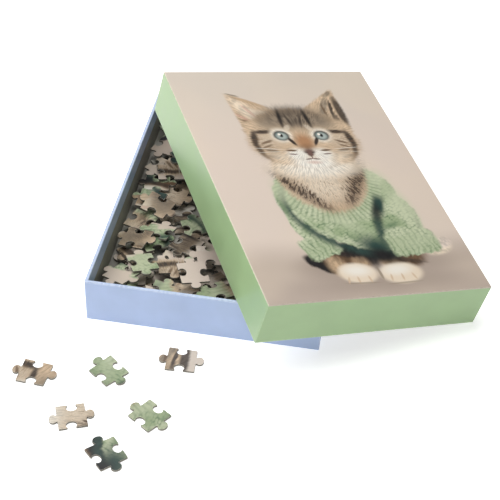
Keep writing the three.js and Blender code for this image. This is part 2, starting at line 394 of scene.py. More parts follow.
class Painting:
    """A picture built up in a node group, mark upon mark, from the back to the front."""

    ROUND = 9.0  # how far a wedge's corners are rounded, in millimetres
    ROUND_BLOCK = 0.7  # and a rectangle's, as a share of its size

    def __init__(self, graph: Graph, ground: Value) -> None:
        """Starts on a ground colour, with no fur yet."""
        self.graph = graph
        self.colour = ground
        self.fur: Value = 0.0

    def mask(self, place: Value, mark: Mark) -> Socket:
        """How much a mark covers at a place."""
        inside = self.graph.join(*self.graph.place(place, mark.at, mark.turn, mark.size))
        reach = self.graph.vector("LENGTH", inside)
        return self.graph.ramp(reach, 1 + mark.soft / 2, 1 - mark.soft, 0.0, mark.strength)

    def lay(self, cover: Value, colour: Value) -> None:
        """Lays a colour where the cover says."""
        self.colour = self.graph.mix(cover, self.colour, colour)

    def paint(self, place: Value, *marks: Mark) -> list[Socket]:
        """Paints marks in turn, and returns their covers."""
        covers = []
        for mark in marks:
            covers.append(self.mask(place, mark))
            self.lay(covers[-1], mark.ink.value)
        return covers

    def paint_fur(self, place: Value, *marks: Mark) -> None:
        """Paints marks in turn, and notes that fur grows there."""
        for cover in self.paint(place, *marks):
            self.furred(cover)

    def smooth(self, place: Value, *marks: Mark) -> None:
        """Paints marks in turn, and takes the fur's streaks away there."""
        for cover in self.paint(place, *marks):
            self.bare(cover)

    def speckle(self, place: Value, spots: Value, *marks: Mark) -> None:
        """Paints marks in turn, each only where the spots are."""
        for mark in marks:
            self.lay(self.graph.product(self.mask(place, mark), spots), mark.ink.value)

    def furred(self, cover: Value) -> None:
        """Notes that fur grows where the cover says."""
        self.fur = self.graph.math("MAXIMUM", self.fur, cover)

    def bare(self, cover: Value) -> None:
        """Takes the fur's streaks away where the cover says."""
        self.fur = self.graph.product(self.fur, self.graph.less(1.0, cover))

    def wedge(self, place: Value, corners: tuple[Point, ...], soft: float) -> Socket:
        """A triangle's cover.

        Args:
            place: Coordinates whose Z is 1.
            corners: The three corners, anticlockwise.
            soft: How far the edge fades, in millimetres.

        Returns:
            The cover.
        """
        depth: Value = 1000.0
        for here, there in zip(corners, corners[1:] + corners[:1]):
            along = (Vector(there) - Vector(here)).normalized()
            inward = Vector((-along.y, along.x))
            side = self.graph.vector("DOT_PRODUCT", place, (inward.x, inward.y, -inward.dot(Vector(here))))
            depth = self.graph.math("SMOOTH_MIN", depth, side, self.ROUND)
        return self.graph.ramp(depth, -soft, soft)

    def block(self, place: Value, mark: Mark) -> tuple[Socket, Socket]:
        """A round-cornered rectangle's cover, and its own X.

        Args:
            place: The coordinates.
            mark: The rectangle.

        Returns:
            The cover, and the X inside it, from -1 to 1.
        """
        x, y = self.graph.place(place, mark.at, mark.turn, mark.size)
        sides = (self.graph.math("ABSOLUTE", side) for side in (x, y))
        reach = self.graph.math("SMOOTH_MAX", *sides, self.ROUND_BLOCK)
        return self.graph.ramp(reach, 1 + mark.soft / 2, 1 - mark.soft / 2), x


NECK = (103.0, 149.0)  # the middle of the collar, in millimetres on the picture

# The picture's marks, painted in this order within a group. A mark gives its middle and its half sizes in
# millimetres, its ink, and where they aren't the usual ones its turn, its softness and its strength. Marks of
# the head and the face count from the middle of the head, and show on both sides of it.
SHADOWS = (
    Mark((112, 16), (78, 15), Ink.SHADOW, soft=0.9, strength=0.5),
    Mark((64, 36), (30, 13), Ink.SHADOW, soft=0.9, strength=0.5),
    Mark((160, 36), (34, 11), Ink.SHADOW, soft=0.9, strength=0.4),
)
LEG_FUR = (
    Mark((176, 50), (16, 9), Ink.CREAM, 10, 0.35), Mark((184, 55), (10, 7), Ink.WALL, 20, 0.5),
    Mark((59, 42), (13, 7), Ink.BLACK, -35, 0.3), Mark((67, 33), (11, 4.5), Ink.BLACK, -28, 0.5),
    Mark((88, 44), (24, 16), Ink.BROWN, 0, 0.35), Mark((137, 43), (25, 15), Ink.BROWN, 0, 0.35),
    Mark((75, 36), (9, 13), Ink.TAN, 15, 0.6), Mark((99, 40), (9, 11), Ink.TAN, -10, 0.6, 0.7),
    Mark((124, 38), (10, 7), Ink.TAN, 0, 0.7, 0.6), stroke((76, 52), (104, 48), 10, Ink.STRIPE, 0.95),
    stroke((114, 47), (156, 48), 11, Ink.STRIPE, 0.9), stroke((130, 40), (158, 34), 5, Ink.STRIPE, 0.6),
    stroke((110, 52), (110, 34), 13, Ink.BLACK, 0.9, 0.7),
)
PAWS = (
    Mark((90, 27), (18.5, 12), Ink.CREAM, -6, 0.25), Mark((129.5, 24), (21, 12.5), Ink.CREAM, 2, 0.25),
    Mark((90, 30), (14, 7), Ink.WHITE, -4, 0.8, 0.9), Mark((127, 28), (15, 7), Ink.WHITE, 4, 0.8, 0.9),
)
TOES = (
    *(stroke((x, 23), (x + lean, 16), 2.2, Ink.SAND, 0.85)
      for x, lean in ((80, -2), (88, 0), (98, 1), (119, -1), (129, 0), (139, 2))),
    stroke((110, 31), (110.5, 18), 3.0, Ink.TAUPE, 0.8), stroke((75, 16.5), (106, 15), 2.0, Ink.TAUPE, 0.6),
    stroke((113, 12.5), (145, 13.5), 2.0, Ink.TAUPE, 0.6),
)
SLEEVES = (
    Mark((69, 121), (20, 31), Ink.GREEN, -8, 0.1), Mark((66, 92), (14.5, 30), Ink.GREEN, 4, 0.1),
    Mark((140, 127), (26, 33), Ink.GREEN, 32, 0.1), Mark((156, 92), (20, 38), Ink.GREEN, 9, 0.1),
)
FOLDS = (
    stroke((140, 105), (132, 80), 11, Ink.BLACK, 0.9, 0.9),
    stroke((135, 92), (128, 56), 11, Ink.GREEN_DEEP, 0.9, 0.9),
    Mark((144, 79), (10, 4), Ink.GREEN_DARK, 20, 0.9, 0.7),
    stroke((51, 120), (54, 96), 5, Ink.GREEN_DARK, 0.7, 0.8),
    stroke((61, 101), (76, 78), 4, Ink.GREEN_LIGHT, 0.5, 0.8),
    stroke((75, 79), (104, 58), 4, Ink.GREEN_LIGHT, 0.5, 0.8),
    Mark((153, 140), (16, 13), Ink.GREEN_LIGHT, -30, 0.9, 0.6),
    Mark((164, 104), (12, 30), Ink.GREEN_LIGHT, 10, 0.9, 0.8),
    Mark((104, 84), (20, 9), Ink.GREEN_LIGHT, -32, 0.9, 0.5),
    Mark((60, 128), (11, 18), Ink.GREEN_LIGHT, 0, 0.9, 0.55),
)
UNDER_HEM = (
    Mark((120, 55), (20, 14), Ink.GREEN_DEEP, -25, 0.9, 1.0),
    Mark((122, 45), (15, 9), Ink.BLACK, -15, 0.8, 0.95),
)
CHEST_FUR = (
    Mark(NECK, (44, 50), Ink.SAND, 0, 0.1), Mark((102, 112), (18, 15), Ink.TAN, 0, 0.9, 0.8),
    Mark((101, 134), (27, 26), Ink.CREAM, 0, 0.9, 1.0), stroke((62, 148), (94, 104), 11, Ink.BROWN, 0.45),
    stroke((145, 154), (118, 110), 14, Ink.BROWN, 0.55),
)
FLANKS = (
    stroke((58, 152), (96, 102), 17, Ink.STRIPE, 0.95), stroke((147, 158), (117, 108), 21, Ink.STRIPE, 0.95),
)
BIB = (
    Mark((103, 157), (50, 16), Ink.CREAM, 0, 0.6), Mark((104, 155), (36, 13), Ink.WHITE, 0, 0.8, 0.8),
)
EARS = (
    stroke((53, 254), (70, 222), 16, Ink.CREAM, 0.9, 0.7), stroke((60, 238), (86, 230), 9, Ink.CREAM, 0.7),
    stroke((50, 260), (88, 239), 5, Ink.TAN, 0.9), stroke((50, 262), (62, 257), 2.4, Ink.TAUPE, 0.9),
    stroke((60, 246), (70, 226), 4, Ink.PINK, 0.5), stroke((54, 224), (72, 213), 6, Ink.BROWN, 0.95),
    stroke((51, 232), (62, 222), 4, Ink.PINK, 0.6), stroke((158, 262), (132, 238), 7, Ink.SAND, 0.9),
    stroke((158, 263), (150, 256), 5, Ink.TAUPE, 0.8), stroke((149, 252), (138, 230), 8, Ink.TAUPE, 0.9),
    stroke((158, 256), (158, 212), 9, Ink.STRIPE, 0.9), stroke((152, 250), (148, 226), 4, Ink.STRIPE, 0.9),
    stroke((150, 230), (150, 214), 7, Ink.STRIPE, 0.7), stroke((142, 244), (142, 226), 3, Ink.BROWN, 0.8),
)
HEAD_FUR = (
    Mark((0, 1), (52, 38), Ink.TAN, 0, 0.1), Mark((0, -9), (56, 36), Ink.SAND, 0, 0.1),
    Mark((43, 8), (12, 15), Ink.SAND, 0, 0.3),
)
TABBY = (
    Mark((0, 24), (36, 18), Ink.TAUPE, 0, 0.7, 0.85), Mark((29, 19), (12, 13), Ink.TAUPE, 0, 0.9, 0.65),
    Mark((0, 35), (22, 8), Ink.STRIPE, 0, 0.9, 0.45), Mark((0, 18), (6, 9), Ink.STRIPE, 0, 0.9, 0.55),
    stroke((12.5, 39), (14.5, 11), 5.0, Ink.BLACK, 0.95, 0.7),
    stroke((8, 33), (4, 12), 3.4, Ink.STRIPE, 0.8, 0.8), stroke((24, 32), (25, 18), 5, Ink.STRIPE, 0.3, 0.9),
    Mark((37, -6), (14, 12), Ink.CREAM, 0, 0.9, 0.6), stroke((26, 6), (46, 5), 6.0, Ink.STRIPE, 0.95, 0.6),
    stroke((46, 6), (49, -14), 8.0, Ink.STRIPE, 0.95, 0.6),
    stroke((49, -9), (45, -27), 7.0, Ink.STRIPE, 0.85, 0.8),
    stroke((46, -24), (39, -34), 5.0, Ink.BROWN, 0.6, 0.9), stroke((31, -6), (43, -11), 3.2, Ink.BROWN, 0.8),
    stroke((33, -12), (44, -17), 2.6, Ink.BROWN, 0.7), stroke((30, -21), (41, -19), 4.0, Ink.STRIPE, 0.6),
    stroke((31, -30), (41, -27), 4.5, Ink.BROWN, 0.7), Mark((20, 0.6), (12.5, 11.5), Ink.CREAM, 0, 0.35, 1.0),
    Mark((20, 0.4), (10.3, 9.4), Ink.WHITE, 0, 0.4, 0.6), stroke((9, 14), (13, 8), 6, Ink.CREAM, 0.8),
    Mark((0, 2), (6.5, 13), Ink.SAND, 0, 0.8, 0.9), Mark((0, -9), (10.5, 13), Ink.GINGER, 0, 0.7, 0.95),
    Mark((0, -17), (8, 6), Ink.BROWN, 0, 0.9, 0.5), Mark((12, -26), (13, 9), Ink.WHITE, -10, 0.6),
    Mark((0, -38), (25, 9), Ink.WHITE, 0, 0.6), Mark((30, -29), (12, 7), Ink.CREAM, 20, 0.9, 0.8),
)
MOTTLES = (
    Mark((2, 26), (40, 18), Ink.STRIPE, 0, 0.8, 0.75), Mark((40, -12), (15, 20), Ink.BROWN, 0, 0.9, 0.65),
)
FACE = (
    stroke((15, -2), (9.5, -13), 4.2, Ink.STRIPE, 1.0), Mark((20, 0.2), (8.2, 7.2), Ink.STRIPE, 8, 0.3),
    Mark((20, 0.0), (7.0, 6.3), Ink.EYE_RING, 0, 0.25), Mark((20, -0.4), (5.8, 5.2), Ink.EYE, 0, 0.5),
    Mark((20, 0.4), (1.9, 2.6), Ink.BLACK, 0, 0.5), Mark((0, -22), (6.0, 4.2), Ink.NOSE, 0, 0.7),
    Mark((0, -25.5), (3.4, 3.2), Ink.NOSE, 0, 0.5), stroke((2, -23.5), (5, -22.5), 1.6, Ink.BLACK, 0.7),
    stroke((0, -26), (0, -32), 1.5, Ink.NOSE, 0.9), stroke((0, -31.5), (7, -32.5), 2.0, Ink.NOSE, 0.9),
    Mark((0, -36.5), (8, 2.6), Ink.PINK, 0, 0.9, 0.5), stroke((12, -20.5), (22, -20), 2.8, Ink.BROWN, 1.0),
    stroke((13, -25.5), (21, -25), 1.9, Ink.NOSE, 0.9),
    stroke((22, -19), (56, -16), 0.7, Ink.WHITE, 0.8, 0.4),
    stroke((22, -21), (54, -23), 0.6, Ink.WHITE, 0.6, 0.4),
)
GLINTS = (
    Mark((83.5, 202.5), (1.6, 1.6), Ink.WHITE, 0, 0.3), Mark((123, 201.5), (1.6, 1.6), Ink.WHITE, 0, 0.3),
)


class KittenPicture(SharedEffect):
    """A kitten in a knitted jumper, sitting before a plain wall."""

    name = "kitten_picture"
    takes = (("Place", "Vector"),)
    gives = (("Colour", "Color"),)

    MUZZLE = (104.0, 187.0)  # the fur grows away from here, in millimetres on the picture
    HEAD = (105.0, 200.0)
    HEAD_TILT = -1.4
    TUFT = 9.0  # how far the streaks pull the outline of the coat, in millimetres
    DOWN = 2.6  # and the markings and the paws
    HAIRS = (21.0, 0.085)  # hairs in a turn about the muzzle, and how fast they change along it
    COLLAR_RIBS = 74.0  # radians of ribs in a radian about the neck
    RIB_BEND = 9.0  # how far a cuff's ribs waver, in radians
    WOBBLE = 6.0  # how uneven the jumper's outline is, in millimetres
    STITCH = (4.2, 2.4)  # the width and the height of a stitch, in millimetres
    STITCH_TURN = 28.0
    COAT = (0.32, 0.68, 0.74, 1.12)  # streaks from and to, and how light the fur is at each

    def draw(self, graph: Graph, given: Sockets) -> Sockets:
        """Fills the group from the back to the front: the room first, the face last."""
        x, y, _ = graph.split(given["Place"])
        plain = graph.join(x, y, 1.0)
        streaks, furry, downy = self.fur_field(graph, plain)
        work = Painting(graph, self.room(graph, plain, y))
        self.legs(work, plain, downy)
        self.jumper(work, graph, plain)
        self.chest(work, graph, furry, downy, streaks)
        self.ears(work, downy)
        self.head(work, graph, furry, downy, streaks)
        lightness = graph.ramp(streaks, *self.COAT)
        shaded = graph.scaled(work.colour, lightness)
        work.lay(work.fur, shaded)
        self.face(work, graph, plain)
        return {"Colour": work.colour}

    def fur_field(self, graph: Graph, plain: Value) -> tuple[Socket, ...]:
        """Streaks that run out from the muzzle, and coordinates that they pull into tufts.

        Args:
            graph: The group's graph.
            plain: The coordinates.

        Returns:
            The streaks, near a half, the tufted coordinates and the slightly tufted ones.
        """
        x, y = graph.place(plain, self.MUZZLE)
        out = graph.join(x, y)
        reach = graph.vector("LENGTH", out)
        # The angle's seam runs straight down, under the chin's pale fur.
        angle = graph.math("ARCTAN2", x, y)
        hairs = graph.join(graph.product(angle, self.HAIRS[0]), graph.product(reach, self.HAIRS[1]))
        streaks = graph.noise(hairs, 1.5, 2.5, flat=True, rough=0.6)
        pull = graph.product(graph.less(streaks, 0.5), graph.ramp(reach, 8.0, 45.0))
        ahead = graph.vector("NORMALIZE", out)
        furry = graph.vector("ADD", plain, graph.scaled(ahead, graph.product(pull, self.TUFT)))
        downy = graph.vector("ADD", plain, graph.scaled(ahead, graph.product(pull, self.DOWN)))
        return streaks, furry, downy

    def room(self, graph: Graph, plain: Value, y: Value) -> Socket:
        """The wall behind, paler in the middle, and the table in front, without an edge between them."""
        wall = graph.mix(graph.ramp(y, 170.0, 290.0), Ink.WALL.value, Ink.WALL_HIGH.value)
        table = graph.mix(graph.ramp(y, 74.0, 38.0), wall, Ink.TABLE.value)
        cloud = graph.noise(plain, 0.012, 1.0, flat=True)
        return graph.mix(graph.ramp(cloud, 0.35, 0.65, 0.0, 0.25), table, Ink.CREAM.value)

    def legs(self, work: Painting, plain: Value, downy: Value) -> None:
        """The shadow below, the hind foot, the tail's end, the front legs and the paws."""
        work.paint(plain, *SHADOWS)
        work.paint_fur(downy, *LEG_FUR)
        work.smooth(plain, *PAWS)
        work.paint(plain, *TOES)

    def jumper(self, work: Painting, graph: Graph, plain: Value) -> None:
        """The knitted jumper: body and sleeves, their folds, the ribbed collar and the two ribbed cuffs."""
        shade = graph.noise(plain, 0.045, 3.0, flat=True)
        bumps = graph.join(shade, graph.noise(plain, 0.2, flat=True))
        shift = graph.scaled(graph.vector("SUBTRACT", bumps, (0.5, 0.5, 0)), self.WOBBLE)
        wobble = graph.vector("ADD", plain, shift)
        body = work.mask(wobble, Mark((115, 100), (62, 46), Ink.GREEN, -33.5, 0.06))
        cover = body
        for part in SLEEVES:
            cover = graph.math("MAXIMUM", cover, work.mask(wobble, part))
        work.paint(plain, stroke((84, 58), (134, 46), 26, Ink.BLACK, 0.95, 0.6))
        knitted = self.knit(graph, plain, shade)
        work.lay(cover, knitted)
        work.bare(cover)
        self.collar(work, graph, plain, cover)
        self.cuff(work, graph, wobble, knitted, Mark((69, 59), (17.5, 12.5), Ink.GREEN, 18, 0.2), 20.0)
        # The body's front lies over the left sleeve and its cuff, and shades them.
        behind = graph.less(1.0, body)
        cast = work.mask(plain, Mark((112, 97), (65, 50), Ink.GREEN_DEEP, -33.5, 0.12, 0.9))
        work.lay(graph.product(cast, behind), Ink.GREEN_DEEP.value)
        work.paint(plain, *UNDER_HEM)
        slot, _ = work.block(plain, Mark((143, 105.5), (5, 11.5), Ink.GREEN_DEEP, -22, 1.1))
        work.lay(slot, Ink.GREEN_DEEP.value)
        work.paint(plain, *FOLDS)
        self.cuff(work, graph, wobble, knitted, Mark((156, 58), (24.5, 15), Ink.GREEN, 4, 0.16), 28.0)
        work.paint(plain, Mark((160, 60), (23, 11), Ink.GREEN_LIGHT, 4, 0.9, 0.4))

    def cuff(self, work: Painting, graph: Graph, place: Value, knitted: Value, patch: Mark,
             ribs: float) -> None:
        """A ribbed cuff.

        Args:
            work: The picture so far.
            graph: The group's graph.
            place: The coordinates.
            knitted: The colour of the knitting.
            patch: Where the cuff lies.
            ribs: How close its ribs are.
        """
        cover, across = work.block(place, patch)
        uneven = graph.noise(place, 0.11, 2.0, flat=True)
        bent = graph.math("ADD", graph.product(across, ribs), graph.product(uneven, self.RIB_BEND))
        work.lay(cover, graph.mix(0.55, self.ribbed(graph, bent, 0.2, 0.3), knitted))
        work.bare(cover)

    def ribbed(self, graph: Graph, across: Value, crest: float, least: float) -> Socket:
        """Pale ribs with darker furrows.

        Args:
            graph: The group's graph.
            across: The place across the ribs, in radians.
            crest: How far up a rib its colour is full.
            least: How pale the furrows are.

        Returns:
            The colour.
        """
        height = graph.ramp(graph.math("SINE", across), -1.0, crest, least, 1.0)
        return graph.mix(height, Ink.GREEN_DARK.value, Ink.GREEN_LIGHT.value)

    def knit(self, graph: Graph, plain: Value, shade: Value) -> Socket:
        """Rows of stitches: pale loops with darker gaps, on a slow change of green.

        Args:
            graph: The group's graph.
            plain: The coordinates.
            shade: A slow noise.

        Returns:
            The colour.
        """
        rows = graph.join(*graph.place(plain, (0, 0), self.STITCH_TURN, self.STITCH))
        stitches = graph.add("TexVoronoi", rows, voronoi_dimensions="2D", feature="F1")
        stitches.inputs["Scale"].default_value = 1.0
        stitches.inputs["Randomness"].default_value = 0.8
        gaps = graph.ramp(stitches.outputs["Distance"], 0.25, 0.8)
        fleck = graph.ramp(graph.noise(plain, 0.16, 2.0, flat=True), 0.42, 0.66, 0.4, 1.0)
        wool = graph.mix(graph.ramp(shade, 0.4, 0.66), Ink.GREEN.value, Ink.GREEN_LIGHT.value)
        return graph.mix(graph.product(gaps, fleck), wool, Ink.GREEN_DARK.value)

    def collar(self, work: Painting, graph: Graph, plain: Value, cover: Value) -> None:
        """The ribbed band round the neck."""
        x, y = graph.place(plain, NECK)
        ribbed = self.ribbed(graph, graph.product(graph.math("ARCTAN2", x, y), self.COLLAR_RIBS), 0.4, 0.35)
        band = work.mask(plain, Mark(NECK, (56, 65), Ink.GREEN, 0, 0.04))
        work.lay(graph.product(band, cover, 0.55), ribbed)

    def chest(self, work: Painting, graph: Graph, furry: Value, downy: Value, streaks: Value) -> None:
        """The cream chest in the collar's opening, with dark flecks down both of its sides."""
        work.paint_fur(furry, *CHEST_FUR)
        spotted = graph.ramp(streaks, 0.44, 0.56)
        work.speckle(furry, spotted, *FLANKS)
        flecks = graph.ramp(streaks, 0.54, 0.66, 0.0, 0.6)
        work.speckle(downy, flecks, Mark((102, 132), (40, 34), Ink.BROWN, 0, 0.9))
        work.paint_fur(furry, *BIB)

    def ears(self, work: Painting, downy: Value) -> None:
        """The two ears: cream inside on the left, darker and striped on the right."""
        for corners in (((48, 262), (52, 206), (94, 234)), ((161, 268), (118, 236), (159, 206))):
            cover = work.wedge(downy, corners, 1.8)
            work.lay(cover, Ink.SAND.value)
            work.furred(cover)
        work.paint(downy, *EARS)

    def head_frame(self, graph: Graph, place: Value) -> Socket:
        """Coordinates from the middle of the head, tilted with it, the same on both sides of it."""
        x, y = graph.place(place, self.HEAD, self.HEAD_TILT)
        return graph.join(graph.math("ABSOLUTE", x), y, 1.0)

    def head(self, work: Painting, graph: Graph, furry: Value, downy: Value, streaks: Value) -> None:
        """The head's fur and its tabby markings."""
        work.paint_fur(self.head_frame(graph, furry), *HEAD_FUR)
        work.paint(self.head_frame(graph, downy), *TABBY)
        spotted = graph.ramp(streaks, 0.46, 0.6)
        work.speckle(self.head_frame(graph, downy), spotted, *MOTTLES)

    def face(self, work: Painting, graph: Graph, plain: Value) -> None:
        """The eyes, the nose, the mouth and the whiskers, crisp over the fur."""
        work.paint(self.head_frame(graph, plain), *FACE)
        work.paint(plain, *GLINTS)


# ---------------------------------------------------------------- finishes
@dataclass(frozen=True)
class Finish:
    """A finish that every piece of one material shares."""

    name: str
    roughness: float = 0.5
    relief: float = 0.02  # depth of the grain, in millimetres
    fibre: float = 0.35

    def colour(self, graph: Graph, tone: Socket) -> Value:
        """The finish's colour over the surface. Each finish has its own.

        Args:
            graph: The material's graph.
            tone: A slow change of tone, near a half.

        Returns:
            The colour.
        """
        raise NotImplementedError

    def shine(self, graph: Graph, tone: Socket) -> Value:
        """The roughness over the surface: a little more where the tone is higher."""
        return graph.ramp(tone, 0.3, 0.7, self.roughness * 0.88, self.roughness * 1.12)

    def material(self) -> bpy.types.Material:
        """The finish's material, built when it is first asked for."""
        title = f"{self.name}_finish"
        if title in bpy.data.materials:
            return bpy.data.materials[title]
        material = bpy.data.materials.new(title)
        material.use_nodes = True
        graph = Graph(material.node_tree)
        shader = material.node_tree.nodes["Principled BSDF"]
        place = graph.add("TexCoord").outputs["Object"]
        grain = PaperGrain().use(graph, Place=place, Fibre=self.fibre)
        graph.feed(shader.inputs["Base Color"], self.colour(graph, grain["Tone"]))
        graph.feed(shader.inputs["Roughness"], self.shine(graph, grain["Tone"]))
        bump = graph.add("Bump")
        bump.inputs["Strength"].default_value = 1.0
        bump.inputs["Distance"].default_value = self.relief * MM
        graph.feed(bump.inputs["Height"], grain["Relief"])
        graph.feed(shader.inputs["Normal"], bump.outputs[0])
        self.settle(shader)
        return material

    def settle(self, shader: bpy.types.Node) -> None:
        """Sets what is the same all over the surface."""
        shader.inputs["Specular IOR Level"].default_value = 0.4


@dataclass(frozen=True)
class PrintedWrap(Finish):
    """Paper printed one colour and varnished, with a pale painted highlight along the folds and the rim
    scuffed paler.
    """

    base: Colour = (0.5, 0.5, 0.5, 1.0)
    # the pale ink: a painted highlight along the folds, and on a plain wrap the rim scuffed paler
    edge_ink: Colour = (0.8, 0.8, 0.8, 1.0)
    size: Triple = (200.0, 289.0, 42.3)
    # how strongly the painted fold highlight shows
    fold: float = 0.35
    rim: float = 0.5

    def highlight_and_wear(self, graph: Graph) -> tuple[Socket, Sockets]:
        """The sheet's own coordinates, and where the fold highlight is painted and the rim scuffed."""
        sheet = graph.add("UVMap", uv_map=SHEET_UV).outputs[0]
        width, length, height = self.size
        return sheet, FoldHighlightAndWear().use(graph, Sheet=sheet, Width=width, Length=length, Height=height)

    def colour(self, graph: Graph, tone: Socket) -> Value:
        """The printed colour, with its slow change of tone, the painted fold highlight and the scuffed rim.
        """
        _, highlight_and_wear = self.highlight_and_wear(graph)
        printed = graph.scaled(self.base, graph.ramp(tone, 0.3, 0.7, 0.97, 1.03))
        # Painted highlight along the folds, broken up in places.
        with_fold_highlight = graph.mix(graph.product(highlight_and_wear["Fold"], self.fold), printed, self.edge_ink)
        return graph.mix(graph.product(highlight_and_wear["Rim"], self.rim), with_fold_highlight, self.edge_ink)

    def settle(self, shader: bpy.types.Node) -> None:
        """A thin clear varnish over the print."""
        super().settle(shader)
        shader.inputs["Coat Weight"].default_value = 0.25
        shader.inputs["Coat Roughness"].default_value = 0.18


@dataclass(frozen=True)
class PictureWrap(PrintedWrap):
    """The lid's printed sheet: the picture on top, which runs a little way over the front fold."""

    bleed: float = 1.0

    def colour(self, graph: Graph, tone: Socket) -> Value:
        """The picture on the top and the wrap's plain colour past it, with a painted highlight along the
        folds.
        """
        sheet, highlight_and_wear = self.highlight_and_wear(graph)
        picture = KittenPicture().use(graph, Place=sheet)["Colour"]
        x, y, _ = graph.split(sheet)
        front = graph.product(graph.math("LESS_THAN", y, 0.0), self.bleed)
        outside = graph.ramp(graph.less(highlight_and_wear["Beyond"], front), -0.1, 0.15)
        printed = graph.mix(outside, picture, self.base)
        # Painted highlight along the folds, broken up in places.
        return graph.mix(graph.product(highlight_and_wear["Fold"], self.fold), printed, self.edge_ink)


@dataclass(frozen=True)
class Greyboard(Finish):
    """Recycled board: grey, with darker and paler fibres in it."""

    base: Colour = (0.4, 0.4, 0.38, 1.0)
    fleck: Colour = (0.2, 0.2, 0.19, 1.0)

    def colour(self, graph: Graph, tone: Socket) -> Value:
        """Grey, with flecks."""
        place = graph.add("TexCoord").outputs["Object"]
        speckle = graph.noise(place, 900.0, 3.0, rough=0.7)
        cloudy = graph.scaled(self.base, graph.ramp(tone, 0.3, 0.7, 0.9, 1.1))
        return graph.mix(graph.ramp(speckle, 0.56, 0.72, 0.0, 0.6), cloudy, self.fleck)


@dataclass(frozen=True)
class PieceEdge(Greyboard):
    """The cut side and the back of a piece: layers of grey board under a white liner."""

    liner: Colour = (0.75, 0.74, 0.7, 1.0)
    plies: float = 38.0  # radians of the layers' wave from the back to the print

    def colour(self, graph: Graph, tone: Socket) -> Value:
        """Grey board in thin layers, with the liner just under the print."""
        board = super().colour(graph, tone)
        _, height, _ = graph.split(graph.add("UVMap", uv_map=PLY_UV).outputs[0])
        layer = graph.math("SINE", graph.product(height, self.plies))
        layered = graph.mix(graph.ramp(layer, -0.2, 0.9, 0.0, 0.3), board, self.fleck)
        return graph.mix(graph.ramp(height, 0.86, 0.93), layered, self.liner)


@dataclass(frozen=True)
class PiecePrint(Finish):
    """The face of a piece: its own part of the picture, paler along the cut."""

    edge_ink: Colour = (0.8, 0.78, 0.74, 1.0)
    depth: float = 0.8  # painted shade: every piece's print is darkened, which dims the pieces in the tray

    def colour(self, graph: Graph, tone: Socket) -> Value:
        """The picture where the piece was cut from it, darkened as painted shade, and scuffed paler at the
        edge.
        """
        sheet = graph.add("UVMap", uv_map=SHEET_UV).outputs[0]
        picture = KittenPicture().use(graph, Place=sheet)["Colour"]
        # Painted shade: the picture is darkened by the depth factor.
        printed = graph.mix(1.0, picture, (self.depth, self.depth, self.depth * 0.99, 1.0), "MULTIPLY")
        edge, _, _ = graph.split(graph.add("UVMap", uv_map=PLY_UV).outputs[0])
        place = graph.add("TexCoord").outputs["Object"]
        broken = graph.ramp(graph.noise(place, 450.0), 0.4, 0.6, 0.1, 0.5)
        return graph.mix(graph.product(graph.ramp(edge, 0.35, 1.0), broken), printed, self.edge_ink)


# ---------------------------------------------------------------- mesh helpers
def merged_copy(node: str) -> Mesh:
    """A CAD node's mesh with its loose triangles joined, and flat faces made whole.

    Args:
        node: The CAD node's name.

    Returns:
        The copy, which the caller frees.
    """
    mesh = bmesh.new()
    mesh.from_mesh(frame["nodes"][node].data)
    bmesh.ops.remove_doubles(mesh, verts=mesh.verts, dist=WELD)
    bmesh.ops.dissolve_limit(mesh, angle_limit=math.radians(1.0), verts=mesh.verts, edges=mesh.edges)
    return mesh


def widest_face(mesh: Mesh) -> bmesh.types.BMFace:
    """The largest face that looks upwards."""
    return max((f for f in mesh.faces if f.normal.z > 0), key=lambda f: f.calc_area())


def bevel(mesh: Mesh, edges: list[Edge], radius: float, segments: int = 4) -> None:
    """Rounds some edges of a mesh."""
    bmesh.ops.bevel(mesh, geom=edges, offset=radius, segments=segments, profile=0.5, material=-1,
                    affect="EDGES", clamp_overlap=True)


def standing(x: Vector, y: Vector, z: Vector, origin: Vector | Triple) -> Matrix:
    """The matrix of a frame, from its three axes and its origin."""
    return Matrix.Translation(origin) @ Matrix((x, y, z)).transposed().to_4x4()


def mesh_data(name: str, mesh: Mesh) -> bpy.types.Mesh:
    """A new mesh made from a bmesh, which is freed."""
    data = bpy.data.meshes.new(name)
    mesh.to_mesh(data)
    mesh.free()
    return data


def placed(name: str, data: bpy.types.ID) -> bpy.types.Object:
    """A new object in the scene, at the origin."""
    obj = bpy.data.objects.new(name, data)
    bpy.context.scene.collection.objects.link(obj)
    return obj


def make_object(name: str, mesh: Mesh, materials: list[bpy.types.Material],
                sharp: float = 50.0) -> bpy.types.Object:
    """Turns a bmesh into an object with smooth faces and crisp corners.

    Args:
        name: The object's name.
        mesh: The bmesh, which is freed.
        materials: The object's materials in the order of the faces' indices.
        sharp: The angle in degrees past which an edge stays crisp.

    Returns:
        The object.
    """
    data = mesh_data(name, mesh)
    for material in materials:
        data.materials.append(material)
    data.shade_smooth()
    data.set_sharp_from_angle(angle=math.radians(sharp))
    obj = placed(name, data)
    weighted = obj.modifiers.new("even_shading", "WEIGHTED_NORMAL")
    weighted.keep_sharp = True
    return obj


def dress(node: str, finish: Finish) -> None:
    """Gives a CAD node that stays in sight its finish."""
    obj = frame["nodes"][node]
    if not obj.material_slots:
        obj.data.materials.append(None)
    obj.material_slots[0].material = finish.material()
    log.info("%s: %s", node, finish.name)


